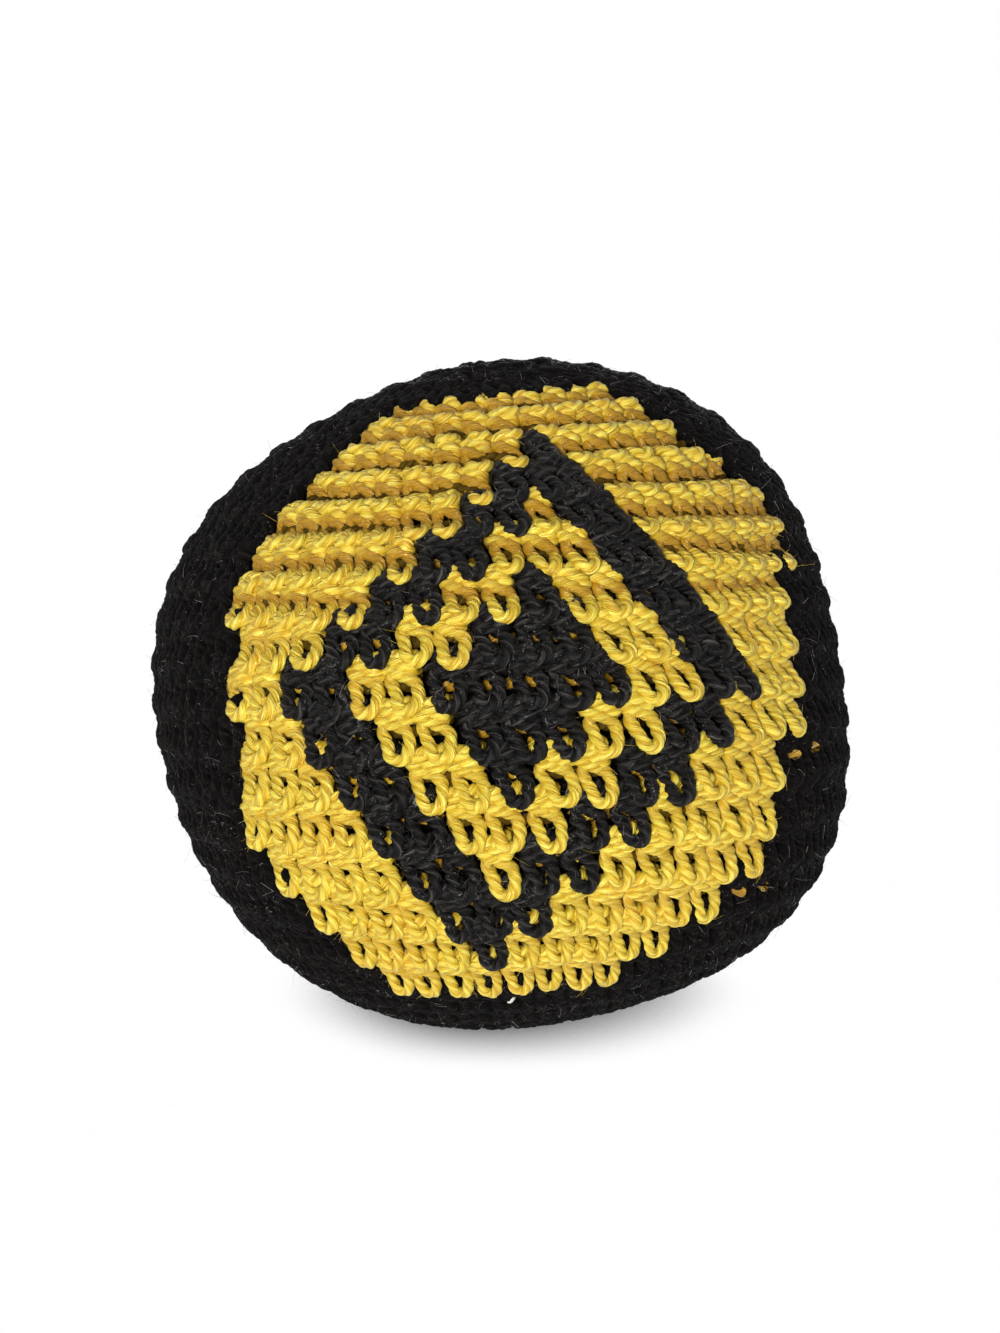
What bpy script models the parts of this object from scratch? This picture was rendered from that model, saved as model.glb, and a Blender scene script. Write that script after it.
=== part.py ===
"""A crocheted footbag: a small ball of single crochet worked in rounds and filled with loose pellets.

Metres, +Z up. The bag rests on z = 0 on the flat that its filling presses, with the origin under
its middle. A panel of yellow stitches, with nested diamonds worked into it, looks along -Y and a
little up, because the bag has rolled back on its flat. The rounds run from a start ring underneath
to a closing ring on top. Each round is a ridge of stitches, one pointed bump for each stitch. In the
panel a stitch is a loop round a hole. Each colour is its own piece of the same cloth, cut along the
edges between stitches.
"""

import math

import bmesh
import bpy
import numpy as np
from mathutils import Matrix, Vector

# The stuffed ball, seen square to the panel
BALL_RADIUS = 0.0270
FRONT_DEPTH = 0.0287
BACK_DEPTH = 0.0260
FLOOR_SINK = 0.0010
FLOOR_BLEND = 0.0004
PANEL_TILT = math.radians(13.0)

# How far the slumped outline strays from a circle: a mean, then a cosine and a sine share for each
# whole number of waves round the outline
OUTLINE_MEAN_SHARE = 0.9784
OUTLINE_SHARES = (
    (0.0131, -0.0176),
    (0.0223, 0.0021),
    (-0.0135, -0.0077),
    (-0.0107, -0.0168),
    (-0.0068, 0.0007),
    (-0.0039, -0.0023),
)

# The power of the curve from the outline to the front: flatter than a circle low down, where the
# filling lies, and sharper on top
FRONT_POWER_TOP = 1.75
FRONT_POWER_BOTTOM = 2.68
BACK_POWER = 2.0

# The rounds: their axis leans back and to the side as the bag lies
AXIS_BACK = math.radians(10.6)
AXIS_SIDE = math.radians(2.2)
STITCHES = 60
PANEL_ROUNDS = 16
START_ROUNDS = (8, 16, 24, 32, 40, 50)
CLOSE_ROUNDS = (28, 18, 9)
START_EYE_STITCHES = 8
CLOSE_EYE_STITCHES = 9
START_EYE_SHARE = 0.40
CLOSE_EYE_SHARE = 0.47
STITCH_DRIFT_SHARE = 0.213
FIRST_DRIFT_SHARE = -0.86

# The crocheted cloth
CLOTH_THICKNESS = 0.0021
ROUND_RELIEF = 0.0006
RELIEF_FADE = 0.0015
PIECE_GAP = 0.0003

# A stitch of the panel, in shares of its width and height from its middle: the two legs and the top
# and the foot that join them stand out, and the hole between them is this deep
LEFT_LEG_SHARE = (-0.28, 0.08)
RIGHT_LEG_SHARE = (0.32, 0.02)
TOP_SHARE = (-0.06, 0.42)
FOOT_SHARE = (0.10, -0.44)
HOLE_SHARE = (0.03, 0.0)
HOLE_DEPTH = 0.0013

# The panel: its first and last stitch in each round from the bottom up, and the diamonds in it,
# as steps from their middle stitch
PANEL_FIRST = (-3, -4, -5, -6, -7, -7, -7, -8, -8, -9, -9, -9, -9, -9, -9, -8)
PANEL_LAST = (4, 5, 6, 7, 7, 7, 8, 8, 8, 8, 9, 9, 8, 7, 6, 5)
DIAMOND_ROUND = 7
DIAMOND_STITCH = 0
RING_STEPS = (5, 6)
CENTRE_STEPS = 2

# The yarn rings at the start and the close, and the knotted end inside
EYE_YARN_SHARE = 0.42
EYE_TURN_POINTS = 14
EYE_YARN_POINTS = 8
KNOT_RADIUS = 0.0011
KNOT_FLAT_SHARE = 0.8
TAIL_RADIUS = 0.00045
TAIL_LENGTH = 0.0060
TAIL_SWAY = 0.0016
TAIL_POINTS = 9

# The pellets: a bed that fills the bag up to its top layers, and the loose ones lying on it
PELLET_RADIUS = 0.0021
BED_TOP_SHARE = 0.70
BED_TURN_POINTS = 32
BED_RISE_POINTS = 16
PELLET_LAYERS = (2, 1)
PELLET_STEPS = 2

BLACK_YARN = ("black_yarn", (0.010, 0.009, 0.010, 1.0), 0.85)
YELLOW_YARN = ("yellow_yarn", (0.76, 0.52, 0.035, 1.0), 0.55)
PELLET_PLASTIC = ("pellet_plastic", (0.82, 0.80, 0.74, 1.0), 0.45)

COVER, FIELD, INNER, RING, CENTRE = range(5)


def clear_scene():
    for obj in list(bpy.data.objects):
        bpy.data.objects.remove(obj, do_unlink=True)


def material(finish):
    name, colour, roughness = finish
    found = bpy.data.materials.get(name)
    if found:
        return found
    made = bpy.data.materials.new(name)
    made.use_nodes = True
    shader = made.node_tree.nodes["Principled BSDF"]
    shader.inputs["Base Color"].default_value = colour
    shader.inputs["Roughness"].default_value = roughness
    shader.inputs["Metallic"].default_value = 0.0
    made.diffuse_color = colour
    return made


def piece(name, form, finish):
    """An object named for its part, from a bmesh that this uses up."""
    bmesh.ops.recalc_face_normals(form, faces=form.faces)
    mesh = bpy.data.meshes.new(name)
    form.to_mesh(mesh)
    form.free()
    mesh.materials.append(material(finish))
    obj = bpy.data.objects.new(name, mesh)
    bpy.context.collection.objects.link(obj)
    return obj


# The shape of the stuffed ball


def ball_radius(way):
    """How far the outside lies from the ball's middle along each unit vector of way."""
    x, y, z = way[..., 0], way[..., 1], way[..., 2]
    up = z * math.cos(PANEL_TILT) + y * math.sin(PANEL_TILT)
    out = z * math.sin(PANEL_TILT) - y * math.cos(PANEL_TILT)
    side = np.hypot(x, up) + 1e-12
    turn = np.arctan2(up, x)
    share = OUTLINE_MEAN_SHARE
    for waves, (cosine, sine) in enumerate(OUTLINE_SHARES, start=1):
        share = share + cosine * np.cos(waves * turn) + sine * np.sin(waves * turn)
    low = (0.5 * (1 - up / side)) ** 2
    front_power = FRONT_POWER_TOP + (FRONT_POWER_BOTTOM - FRONT_POWER_TOP) * low
    power = np.where(out > 0, front_power, BACK_POWER)
    depth = np.where(out > 0, FRONT_DEPTH, BACK_DEPTH)
    reach = (side / (BALL_RADIUS * share)) ** power + (np.abs(out) / depth) ** power
    return reach ** (-1 / power)


def world_ways(rise, turn):
    """Unit vectors at a rise above the level and a turn from the front, in the world."""
    return np.stack(
        [np.cos(rise) * np.sin(turn), -np.cos(rise) * np.cos(turn), np.sin(rise)], axis=-1
    )


def round_ways(rise, turn):
    """The same about the axis that the rounds go round."""
    way = world_ways(rise, turn)
    x, y, z = way[..., 0], way[..., 1], way[..., 2]
    x, z = (
        x * math.cos(AXIS_SIDE) - z * math.sin(AXIS_SIDE),
        x * math.sin(AXIS_SIDE) + z * math.cos(AXIS_SIDE),
    )
    y, z = (
        y * math.cos(AXIS_BACK) + z * math.sin(AXIS_BACK),
        z * math.cos(AXIS_BACK) - y * math.sin(AXIS_BACK),
    )
    return np.stack([x, y, z], axis=-1)


def sample_ball():
    """The ball's box before it is pressed on the floor, as its low and high corners."""
    rise, turn = np.meshgrid(
        np.linspace(-math.pi / 2, math.pi / 2, 181), np.linspace(0, 2 * math.pi, 361)
    )
    way = world_ways(rise, turn)
    points = (way * ball_radius(way)[..., None]).reshape(-1, 3)
    return points.min(axis=0), points.max(axis=0)


BOX_LOW, BOX_HIGH = sample_ball()
MIDDLE = np.array(
    [
        -0.5 * (BOX_LOW[0] + BOX_HIGH[0]),
        -0.5 * (BOX_LOW[1] + BOX_HIGH[1]),
        -BOX_LOW[2] - FLOOR_SINK,
    ]
)
BAG_HEIGHT = BOX_HIGH[2] + MIDDLE[2]


def pressed(height):
    """Heights over the floor, with what would lie under it flat on it and an even bend between."""
    bend = (height + FLOOR_BLEND) ** 2 / (4 * FLOOR_BLEND)
    return np.where(height < -FLOOR_BLEND, 0.0, np.where(height > FLOOR_BLEND, height, bend))


def cloth_points(way, depth):
    """Points under the ball's outside by depth, on the cloth as it lies on the floor."""
    points = way * (ball_radius(way) - depth)[..., None] + MIDDLE
    points[..., 2] = depth + pressed(points[..., 2] - depth)
    return points


def outer_points(way, relief):
    """Points on the outside, let in by relief, which dies out where the floor presses."""
    height = (way * ball_radius(way)[..., None] + MIDDLE)[..., 2]
    fade = np.clip(height / RELIEF_FADE, 0, 1)
    fade = fade * fade * (3 - 2 * fade)
    points = way * (ball_radius(way) - relief * fade)[..., None] + MIDDLE
    points[..., 2] = pressed(points[..., 2])
    return points


# The rounds on the ball


def round_rises():
    """Rises along the front of the ball, and how far round by round each lies from the panel's foot."""
    rise = np.linspace(-math.pi / 2, math.pi / 2, 721)
    way = round_ways(rise, np.zeros_like(rise))
    points = way * ball_radius(way)[..., None]
    steps = np.linalg.norm(np.diff(points, axis=0), axis=1)
    length = np.concatenate([[0.0], np.cumsum(steps)])
    below = len(START_ROUNDS) + START_EYE_SHARE
    rounds = below + PANEL_ROUNDS + len(CLOSE_ROUNDS) + CLOSE_EYE_SHARE
    return rise, length / length[-1] * rounds - below


RISES, RISE_ROUNDS = round_rises()


def stitch_ways(rounds, stitches):
    """Unit vectors at places counted in rounds from the panel's foot and in stitches."""
    rise = np.interp(rounds, RISE_ROUNDS, RISES)
    drift = FIRST_DRIFT_SHARE + STITCH_DRIFT_SHARE * (rounds - 0.5)
    return round_ways(rise, (stitches + drift) * 2 * math.pi / STITCHES)


def stitch_size(rounds, stitches):
    """The width and the height of a stitch there."""
    near = 0.25
    across = stitch_ways(np.array([rounds, rounds]), np.array([stitches - near, stitches + near]))
    along = stitch_ways(np.array([rounds - near, rounds + near]), np.array([stitches, stitches]))
    wide = cloth_points(across, np.zeros(2))
    tall = cloth_points(along, np.zeros(2))
    return (
        np.linalg.norm(wide[1] - wide[0]) / (2 * near),
        np.linalg.norm(tall[1] - tall[0]) / (2 * near),
    )


def colour_of(row, stitch):
    """Which piece of the cloth a stitch belongs to."""
    if not 0 <= row < PANEL_ROUNDS:
        return COVER
    stitch = (stitch + STITCHES // 2) % STITCHES - STITCHES // 2
    if not PANEL_FIRST[row] <= stitch <= PANEL_LAST[row]:
        return COVER
    steps = abs(row - DIAMOND_ROUND) + abs(stitch - DIAMOND_STITCH)
    if steps <= CENTRE_STEPS:
        return CENTRE
    if steps < RING_STEPS[0]:
        return INNER
    return RING if steps <= RING_STEPS[1] else FIELD


def corner_shift(colour, row, stitch):
    """Which way a piece's corner draws in from the other colours round it, in stitches and rounds."""
    around = {
        (across, up): colour_of(row + (0 if up > 0 else -1), stitch + (0 if across > 0 else -1))
        == colour
        for across in (-1, 1)
        for up in (-1, 1)
    }
    held = [way for way, mine in around.items() if mine]
    if len(held) == 4:
        return 0, 0
    if len(held) == 3:
        (across, up) = next(way for way, mine in around.items() if not mine)
        return -across, -up
    across = sum(way[0] for way in held)
    up = sum(way[1] for way in held)
    if len(held) == 2 and across == 0 and up == 0:
        raise ValueError("two stitches of one colour meet only at a corner")
    return np.sign(across), np.sign(up)


class Cloth:
    """One colour's piece of the crocheted cloth, with its outer and inner skins."""

    def __init__(self, colour):
        self.colour = colour
        self.form = bmesh.new()
        self.corners = {}

    def corner(self, row, stitch):
        """The outer and the inner vertex at the lower left corner of a stitch."""
        key = (row, stitch % STITCHES)
        if key not in self.corners:
            across, up = corner_shift(self.colour, row, stitch)
            wide, tall = stitch_size(float(row), stitch - 0.5)
            rounds = np.array([row + up * PIECE_GAP / (2 * tall)])
            stitches = np.array([stitch - 0.5 + across * PIECE_GAP / (2 * wide)])
            way = stitch_ways(rounds, stitches)
            outer = self.form.verts.new(outer_points(way, ROUND_RELIEF)[0])
            inner = self.form.verts.new(cloth_points(way, np.array([CLOTH_THICKNESS]))[0])
            self.corners[key] = outer, inner
        return self.corners[key]

    def outside(self, row, stitch, share, depth):
        """A vertex of a stitch at a share of its width and height from its middle, let in by depth."""
        way = stitch_ways(np.array([row + 0.5 + share[1]]), np.array([stitch + share[0]]))
        return self.form.verts.new(outer_points(way, depth)[0])

    def bump(self, row, stitch, loop):
        """A pointed bump between a stitch's corners."""
        top = self.outside(row, stitch, (0.0, 0.0), 0.0)
        for here, after in zip(loop, loop[1:] + loop[:1]):
            self.form.faces.new((here, after, top))

    def looped(self, row, stitch, loop):
        """Two legs, a top and a foot round a hole, between a stitch's corners."""
        shares = (FOOT_SHARE, RIGHT_LEG_SHARE, TOP_SHARE, LEFT_LEG_SHARE)
        raised = [self.outside(row, stitch, share, 0.0) for share in shares]
        hole = self.outside(row, stitch, HOLE_SHARE, HOLE_DEPTH)
        for here, after, near, next_near in zip(
            loop, loop[1:] + loop[:1], raised, raised[1:] + raised[:1]
        ):
            self.form.faces.new((here, after, near))
            self.form.faces.new((after, next_near, near))
            self.form.faces.new((near, next_near, hole))

    def stitch(self, row, stitch):
        """The relief outside, a plain patch inside, and a wall along each edge of the piece."""
        low_left = self.corner(row, stitch)
        low_right = self.corner(row, stitch + 1)
        high_right = self.corner(row + 1, stitch + 1)
        high_left = self.corner(row + 1, stitch)
        loop = (low_left, low_right, high_right, high_left)
        relief = self.bump if self.colour == COVER else self.looped
        relief(row, stitch, [corner[0] for corner in loop])
        beyond = ((row - 1, stitch), (row, stitch + 1), (row + 1, stitch), (row, stitch - 1))
        for here, after, place in zip(loop, loop[1:] + loop[:1], beyond):
            if colour_of(*place) != self.colour:
                self.form.faces.new((after[0], here[0], here[1]))
                self.form.faces.new((after[0], here[1], after[1]))
        self.form.faces.new((low_left[1], high_left[1], high_right[1]))
        self.form.faces.new((low_left[1], high_right[1], low_right[1]))

    def stitches(self):
        for row in range(PANEL_ROUNDS):
            for stitch in range(STITCHES):
                if colour_of(row, stitch) == self.colour:
                    self.stitch(row, stitch)


def ring_of(form, count, rounds, depth, inside):
    """A ring of vertices round the axis, with the turn of each in parts of a circle."""
    start = (FIRST_DRIFT_SHARE + STITCH_DRIFT_SHARE * (rounds - 0.5)) / STITCHES
    shares = start + np.arange(count) / count
    rise = np.interp(rounds, RISE_ROUNDS, RISES)
    way = round_ways(np.full(count, rise), shares * 2 * math.pi)
    if inside:
        points = cloth_points(way, np.full(count, depth))
    else:
        points = outer_points(way, depth)
    return [form.verts.new(point) for point in points], shares


def bridge(form, lower, upper):
    """Triangles between two rings that may hold different numbers of vertices."""
    (low, low_turn), (high, high_turn) = lower, upper
    first = int(np.argmin(np.abs((high_turn - low_turn[0] + 0.5) % 1 - 0.5)))
    i, j = 0, 0
    while i < len(low) or j < len(high):
        low_next = (i + 1) / len(low)
        high_next = (j + 1) / len(high)
        a = low[i % len(low)]
        b = high[(first + j) % len(high)]
        if j >= len(high) or (i < len(low) and low_next <= high_next):
            form.faces.new((a, low[(i + 1) % len(low)], b))
            i += 1
        else:
            form.faces.new((a, high[(first + j + 1) % len(high)], b))
            j += 1


def cap(cloth, edge_row, counts, eye_count, step):
    """The rounds of the cover from the panel's rounds to the eye, and the eye's wall.

    counts are the stitches of each round, from the panel's rounds outwards.
    """
    form = cloth.form
    turn = [
        (stitch - 0.5 + FIRST_DRIFT_SHARE + STITCH_DRIFT_SHARE * (edge_row - 0.5)) / STITCHES
        for stitch in range(STITCHES)
    ]
    edge = [cloth.corner(edge_row, stitch) for stitch in range(STITCHES)]
    outer = [vertex[0] for vertex in edge], np.array(turn)
    inner = [vertex[1] for vertex in edge], np.array(turn)
    for stitch in range(STITCHES):
        if colour_of(edge_row - (step > 0), stitch) != COVER:
            here, after = edge[stitch], edge[(stitch + 1) % STITCHES]
            form.faces.new((here[0], after[0], after[1]))
            form.faces.new((here[0], after[1], here[1]))
    rounds = float(edge_row)
    for place, count in enumerate(counts):
        last = place == len(counts) - 1
        count_after = eye_count if last else (count + counts[place + 1]) // 2
        ridge = ring_of(form, count, rounds + 0.5 * step, 0.0, False)
        valley = ring_of(form, count_after, rounds + step, ROUND_RELIEF, False)
        under = ring_of(form, count_after, rounds + step, CLOTH_THICKNESS, True)
        bridge(form, outer, ridge)
        bridge(form, ridge, valley)
        bridge(form, inner, under)
        outer, inner = valley, under
        rounds += step
    bridge(form, outer, inner)
    outer_middle, inner_middle = middle_of(outer[0]), middle_of(inner[0])
    narrowest = min(
        [(vertex.co - outer_middle).length for vertex in outer[0]]
        + [(vertex.co - inner_middle).length for vertex in inner[0]]
    )
    return outer_middle, inner_middle, narrowest


def middle_of(vertices):
    return Vector(np.mean([vertex.co for vertex in vertices], axis=0))


# The yarn rings, the knot and the end


def yarn_ring(name, outer_middle, inner_middle, radius):
    """A ring of yarn that draws an eye shut, half way through the cloth."""
    room = radius * math.cos(math.pi / CLOSE_EYE_STITCHES) - PIECE_GAP
    yarn = room * EYE_YARN_SHARE
    big = room - yarn
    form = bmesh.new()
    section = bmesh.ops.create_circle(form, segments=EYE_YARN_POINTS, radius=yarn)
    bmesh.ops.rotate(form, verts=section["verts"], matrix=Matrix.Rotation(math.pi / 2, 3, "X"))
    bmesh.ops.translate(form, verts=section["verts"], vec=(big, 0, 0))
    bmesh.ops.spin(
        form,
        geom=section["verts"] + form.edges[:],
        cent=(0, 0, 0),
        axis=(0, 0, 1),
        angle=2 * math.pi,
        steps=EYE_TURN_POINTS,
        use_merge=True,
    )
    bmesh.ops.triangulate(form, faces=form.faces)
    obj = piece(name, form, BLACK_YARN)
    axis = (outer_middle - inner_middle).normalized()
    obj.location = (outer_middle + inner_middle) / 2
    obj.rotation_mode = "QUATERNION"
    obj.rotation_quaternion = axis.to_track_quat("Z", "Y")
    return yarn


def ball(name, radius, subdivisions, finish):
    form = bmesh.new()
    bmesh.ops.create_icosphere(form, subdivisions=subdivisions, radius=radius)
    obj = piece(name, form, finish)
    obj.data.shade_smooth()
    return obj


def closing_knot(inner_middle, axis):
    """The knot that locks the closing ring, just under it."""
    knot = ball("closing_knot", KNOT_RADIUS, 2, BLACK_YARN)
    for vertex in knot.data.vertices:
        vertex.co.z *= KNOT_FLAT_SHARE
    knot.location = inner_middle - axis * (PIECE_GAP + KNOT_RADIUS * KNOT_FLAT_SHARE)
    knot.rotation_mode = "QUATERNION"
    knot.rotation_quaternion = axis.to_track_quat("Z", "Y")


def closing_tail():
    """The end of the yarn, left inside: it runs from the knot under the cloth towards the back."""
    curve = bpy.data.curves.new("closing_tail", "CURVE")
    curve.dimensions = "3D"
    curve.bevel_depth = TAIL_RADIUS
    curve.bevel_resolution = 1
    curve.use_fill_caps = True
    spline = curve.splines.new("POLY")
    spline.points.add(TAIL_POINTS - 1)
    share = np.linspace(0, 1, TAIL_POINTS)
    along = KNOT_RADIUS + PIECE_GAP + TAIL_LENGTH * share
    over = ball_radius(round_ways(math.pi / 2, 0.0))
    sway = TAIL_SWAY * np.sin(math.pi * share) / (along + TAIL_SWAY)
    way = round_ways(math.pi / 2 - along / over, math.pi + sway)
    depth = CLOTH_THICKNESS + PIECE_GAP + TAIL_RADIUS
    for point, at in zip(spline.points, cloth_points(way, np.full(TAIL_POINTS, depth))):
        point.co = (*at, 1.0)
    curve.materials.append(material(BLACK_YARN))
    tail = bpy.data.objects.new("closing_tail", curve)
    bpy.context.collection.objects.link(tail)


# The filling


def pellet_bed():
    """The pellets that fill the bag, as one solid up to a level top just inside the cloth."""
    form = bmesh.new()
    depth = CLOTH_THICKNESS + PIECE_GAP
    rises = np.linspace(-math.pi / 2, math.pi / 2, BED_RISE_POINTS + 1)[1:-1]
    turns = np.arange(BED_TURN_POINTS) * 2 * math.pi / BED_TURN_POINTS
    rings = []
    for rise in rises:
        way = world_ways(np.full(BED_TURN_POINTS, rise), turns)
        points = cloth_points(way, np.full(BED_TURN_POINTS, depth))
        rings.append([form.verts.new(point) for point in points])
    poles = []
    for rise in (-math.pi / 2, math.pi / 2):
        way = world_ways(np.array([rise]), np.array([0.0]))
        poles.append(form.verts.new(cloth_points(way, np.array([depth]))[0]))
    for i in range(BED_TURN_POINTS):
        j = (i + 1) % BED_TURN_POINTS
        form.faces.new((poles[0], rings[0][j], rings[0][i]))
        form.faces.new((poles[1], rings[-1][i], rings[-1][j]))
        for low, high in zip(rings, rings[1:]):
            form.faces.new((low[i], low[j], high[j], high[i]))
    level = BAG_HEIGHT * BED_TOP_SHARE
    cut = bmesh.ops.bisect_plane(
        form,
        geom=form.verts[:] + form.edges[:] + form.faces[:],
        dist=PIECE_GAP / 100,
        plane_co=(0, 0, level),
        plane_no=(0, 0, 1),
        clear_outer=True,
    )
    rim = [item for item in cut["geom_cut"] if isinstance(item, bmesh.types.BMEdge)]
    bmesh.ops.contextual_create(form, geom=rim)
    bmesh.ops.triangulate(form, faces=form.faces)
    piece("pellet_bed", form, PELLET_PLASTIC)
    return level


def loose_pellets(level):
    """The top layers of pellets, each one on the bed or in the hollow between three below it."""
    pitch = 2 * PELLET_RADIUS + PIECE_GAP
    climb = math.sqrt(pitch**2 - pitch**2 / 3)
    number = 0
    for layer, reach in enumerate(PELLET_LAYERS):
        height = level + PELLET_RADIUS + PIECE_GAP + layer * climb
        shift = layer * pitch / math.sqrt(3)
        for row in range(-reach, reach + 1):
            for place in range(-reach, reach + 1):
                if abs(row + place) > reach:
                    continue
                number += 1
                pellet = ball(
                    f"pellet_{number:02d}", PELLET_RADIUS, PELLET_STEPS, PELLET_PLASTIC
                )
                pellet.location = (
                    pitch * (place + row / 2),
                    pitch * row * math.sqrt(3) / 2 + shift,
                    height,
                )


def main():
    clear_scene()
    cover = Cloth(COVER)
    cover.stitches()
    below = tuple(reversed(START_ROUNDS))
    start_outer, start_inner, start_radius = cap(cover, 0, below, START_EYE_STITCHES, -1)
    close_outer, close_inner, close_radius = cap(
        cover, PANEL_ROUNDS, CLOSE_ROUNDS, CLOSE_EYE_STITCHES, 1
    )
    piece("cover_black", cover.form, BLACK_YARN)
    for name, colour, finish in (
        ("panel_field", FIELD, YELLOW_YARN),
        ("panel_inner", INNER, YELLOW_YARN),
        ("diamond_ring", RING, BLACK_YARN),
        ("diamond_centre", CENTRE, BLACK_YARN),
    ):
        cloth = Cloth(colour)
        cloth.stitches()
        piece(name, cloth.form, finish)
    yarn_ring("start_ring", start_outer, start_inner, start_radius)
    yarn_ring("closing_ring", close_outer, close_inner, close_radius)
    closing_knot(close_inner, (close_outer - close_inner).normalized())
    closing_tail()
    loose_pellets(pellet_bed())


main()
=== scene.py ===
"""Dresses the crocheted footbag: each stitch of the cover is worked in twisted yarn over the part.

Metres, +Z up, in the part's own frame. The bag lies on z = 0 with its panel towards -Y. The file is
laid out as an add-on: sizes and colours in property groups, an operator for each group of pieces
and one for the stage, and a panel that lists them. Run as a script, it calls them in order.
"""

import math

import bmesh
import bpy
import numpy as np
from bpy.props import FloatProperty, FloatVectorProperty, IntProperty, PointerProperty
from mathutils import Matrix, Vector


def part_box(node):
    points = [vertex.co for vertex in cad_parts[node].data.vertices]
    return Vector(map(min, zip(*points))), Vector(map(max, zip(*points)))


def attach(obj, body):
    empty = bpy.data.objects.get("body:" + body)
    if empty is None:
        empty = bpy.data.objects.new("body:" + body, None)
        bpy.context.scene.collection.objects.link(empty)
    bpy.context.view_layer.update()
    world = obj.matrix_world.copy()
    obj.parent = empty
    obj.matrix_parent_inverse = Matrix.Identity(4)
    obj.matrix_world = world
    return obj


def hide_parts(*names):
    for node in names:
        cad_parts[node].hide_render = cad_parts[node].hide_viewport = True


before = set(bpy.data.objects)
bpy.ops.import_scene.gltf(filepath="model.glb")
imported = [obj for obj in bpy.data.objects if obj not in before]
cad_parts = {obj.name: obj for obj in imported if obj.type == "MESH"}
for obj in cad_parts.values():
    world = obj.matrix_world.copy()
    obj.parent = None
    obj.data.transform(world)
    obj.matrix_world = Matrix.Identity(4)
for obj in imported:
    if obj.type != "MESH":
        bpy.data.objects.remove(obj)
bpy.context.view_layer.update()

bl_info = {
    "name": "Crocheted Footbag",
    "version": (1, 0, 0),
    "blender": (4, 5, 0),
    "location": "View3D > Sidebar > Footbag",
    "description": "Works a footbag's cover stitch by stitch in twisted yarn",
    "category": "Add Mesh",
}

BODY = "root"

# How far the slumped outline strays from a circle, as in the part
OUTLINE_MEAN_SHARE = 0.9784
OUTLINE_SHARES = (
    (0.0131, -0.0176),
    (0.0223, 0.0021),
    (-0.0135, -0.0077),
    (-0.0107, -0.0168),
    (-0.0068, 0.0007),
    (-0.0039, -0.0023),
)

# The rounds and the chart of colours
CHART_STITCHES = 60
PANEL_ROUNDS = 16
ROUND_STITCHES = (8, 16, 24, 32, 40, 50) + (60,) * 12 + (54, 48, 42, 36) + (28, 18, 9)
START_ROUNDS = 6
CLOSE_ROUNDS = 3
START_EYE_SHARE = 0.40
CLOSE_EYE_SHARE = 0.47
STITCH_DRIFT_SHARE = 0.213
FIRST_DRIFT_SHARE = -0.86
PANEL_FIRST = (-3, -4, -5, -6, -7, -7, -7, -8, -8, -9, -9, -9, -9, -9, -9, -8)
PANEL_LAST = (4, 5, 6, 7, 7, 7, 8, 8, 8, 8, 9, 9, 8, 7, 6, 5)
DIAMOND_ROUND = 7
DIAMOND_STITCH = 0
RING_STEPS = (5, 6)
CENTRE_STEPS = 2
COVER, FIELD, INNER, RING, CENTRE = range(5)
YELLOWS = (FIELD, INNER)

# The strands of a stitch, each across, up and out in widths of a full stitch: the loop that runs
# down its left leg, round its foot, up its right leg and over to the next stitch, and two that lie
# along its top
LOOP = (
    (0.12, 0.56, 0.00),
    (-0.10, 0.44, 0.18),
    (-0.27, 0.28, 0.22),
    (-0.31, 0.10, 0.22),
    (-0.23, -0.08, 0.25),
    (-0.16, -0.24, 0.33),
    (-0.11, -0.39, 0.42),
    (-0.03, -0.52, 0.46),
    (0.12, -0.59, 0.44),
    (0.27, -0.55, 0.46),
    (0.36, -0.42, 0.42),
    (0.38, -0.24, 0.33),
    (0.36, -0.05, 0.26),
    (0.27, 0.12, 0.25),
    (0.09, 0.23, 0.27),
    (-0.14, 0.32, 0.29),
    (-0.36, 0.41, 0.25),
    (-0.54, 0.48, 0.10),
    (-0.66, 0.53, -0.25),
)
BACK_STRAND = (
    (-0.70, 0.58, -0.22),
    (-0.48, 0.66, 0.14),
    (-0.22, 0.72, 0.26),
    (0.06, 0.76, 0.27),
    (0.30, 0.78, 0.20),
    (0.50, 0.78, -0.15),
)
FRONT_STRAND = (
    (-0.62, 0.80, -0.20),
    (-0.42, 0.73, 0.16),
    (-0.17, 0.62, 0.32),
    (0.10, 0.50, 0.35),
    (0.33, 0.41, 0.27),
    (0.50, 0.34, -0.12),
)

# Each strand with its share of the samples, and how much fuller its yarn is
STRANDS = ((LOOP, 2.1, 1.0), (BACK_STRAND, 0.6, 1.25), (FRONT_STRAND, 0.6, 1.15))

# How far out a strand's middle may lie before it stands above the ball, in stitch widths
SURFACE_OUT = 0.38

# Strands end short of a stitch of the other colour: from where across, and to what share
LOOP_END, TOP_END, END_SHARE = -0.36, 0.12, 0.4

# The top rounds of the panel: where their furrow and the painted shade over it lie up a stitch,
# each with its half width, and the round from which they grow with the number of rounds they grow
# over
FURROW = (-0.10, 0.32)
FURROW_PAINTED_SHADE = (0.12, 0.26)
TOP_ROUNDS = (8, 4)

# Rounds where the carried yellow peeps out beside the panel
PEEKING_ROUNDS = (2, 5)

# Where a small pellet shows between stitches: round and stitch
SHOWING_PELLETS = ((10.94, -7.9), (-0.62, 1.0))

# Loose fibres: how long they are, how many grow on a stitch, how thick they are and how steeply
# they stand off the yarn
FIBRE_LENGTH = 0.0005
COVER_FIBRES = (28.0, 0.000013, 0.16)
YELLOW_FIBRES = (30.0, 0.000012, 0.40)
BLACK_FIBRES = (80.0, 0.000012, 0.16)

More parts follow.
